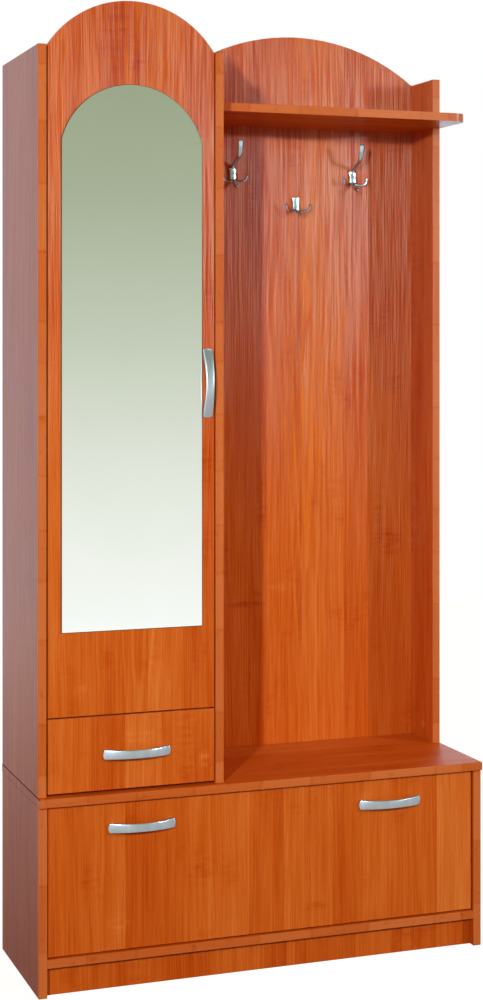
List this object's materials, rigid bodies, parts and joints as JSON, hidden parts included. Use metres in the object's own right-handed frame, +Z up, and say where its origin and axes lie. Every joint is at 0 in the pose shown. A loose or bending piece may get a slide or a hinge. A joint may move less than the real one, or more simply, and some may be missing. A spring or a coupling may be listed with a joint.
{
  "type": "hallway cupboard unit",
  "caption": "Hallway unit: mirrored cupboard with arched door and drawer beside an open coat rack with hooks and hat shelf, on a bench-topped shoe chest with a drop-down flap.",
  "frame": {"origin": "on the floor, half way along the width and half way between the foremost handle and the wall face", "axes": "+X to the right seen from the front, +Y from the front towards the wall, +Z up"},
  "size_m": [1, 0.3564, 2.0379],
  "materials": {
    "laminate": "wood-grain laminate on chipboard, satin with a fine pressed grain",
    "hardboard": "smooth brown hardboard",
    "drawer_board": "pale foil on chipboard",
    "beech": "bare fluted beech",
    "mirror": "silvered float glass with a polished edge",
    "satin_metal": "satin nickel-like casting",
    "chrome": "polished",
    "zinc": "bright zinc plate",
    "cap_plastic": "matt cap in the laminate's colour"
  },
  "bodies": {
    "carcass": {"base_left_side": "laminate", "base_right_side": "laminate", "base_bottom": "laminate", "plinth": "laminate", "base_partition": "laminate", "bench_top": "laminate", "shoe_shelf": "laminate", "cupboard_left_side": "laminate", "cupboard_middle_side": "laminate", "cupboard_bottom": "laminate", "cupboard_divider": "laminate", "cupboard_top": "laminate", "lower_shelf": "laminate", "middle_shelf": "laminate", "upper_shelf": "laminate", "rack_back_panel": "laminate", "rack_side_panel": "laminate", "hat_shelf": "laminate", "base_back": "hardboard", "cupboard_back": "hardboard", "shelf_pins": "zinc", "dowels": "beech", "cam_locks": "zinc", "cam_bolts": "zinc", "cam_caps": "cap_plastic", "door_hinge_arms": "zinc", "door_hinge_plates": "zinc", "flap_hinge_arms": "zinc", "flap_hinge_plates": "zinc", "hinge_plate_screws": "zinc", "runner_outers": "zinc", "wall_brackets": "zinc", "wood_screws": "zinc", "tall_hook_left": "chrome", "tall_hook_right": "chrome", "small_hook": "chrome", "hook_screws": "chrome"},
    "door": {"door": "laminate", "mirror": "mirror", "door_handle": "satin_metal", "door_handle_screws": "zinc", "door_hinge_cups": "zinc"},
    "drawer": {"drawer_front": "laminate", "drawer_left_side": "drawer_board", "drawer_right_side": "drawer_board", "drawer_inner_front": "drawer_board", "drawer_back": "drawer_board", "drawer_bottom": "hardboard", "drawer_handle": "satin_metal", "drawer_handle_screws": "zinc", "runner_inners": "zinc"},
    "runner_middles": {"runner_middles": "zinc"},
    "flap": {"flap": "laminate", "flap_handle_left": "satin_metal", "flap_handle_right": "satin_metal", "flap_handle_screws": "zinc", "flap_hinge_cups": "zinc"}
  },
  "joints": [
    {"name": "door_hinge", "type": "hinge", "parent": "carcass", "child": "door", "pos_m": [-0.479, -0.15275, 1.25], "axis": [0, 0, -1], "range_deg": [0, 105]},
    {"name": "drawer_slide", "type": "slide", "parent": "carcass", "child": "drawer", "axis": [0, -1, 0], "range_m": [0, 0.28]},
    {"name": "runner_middle_slide", "type": "slide", "parent": "carcass", "child": "runner_middles", "axis": [0, -1, 0], "range_m": [0, 0.14]},
    {"name": "flap_hinge", "type": "hinge", "parent": "carcass", "child": "flap", "pos_m": [0, -0.15425, 0.081], "axis": [1, 0, 0], "range_deg": [0, 90]}
  ],
  "couplings": [
    {"joint": "runner_middle_slide", "follows": "drawer_slide", "ratio": 0.5}
  ]
}
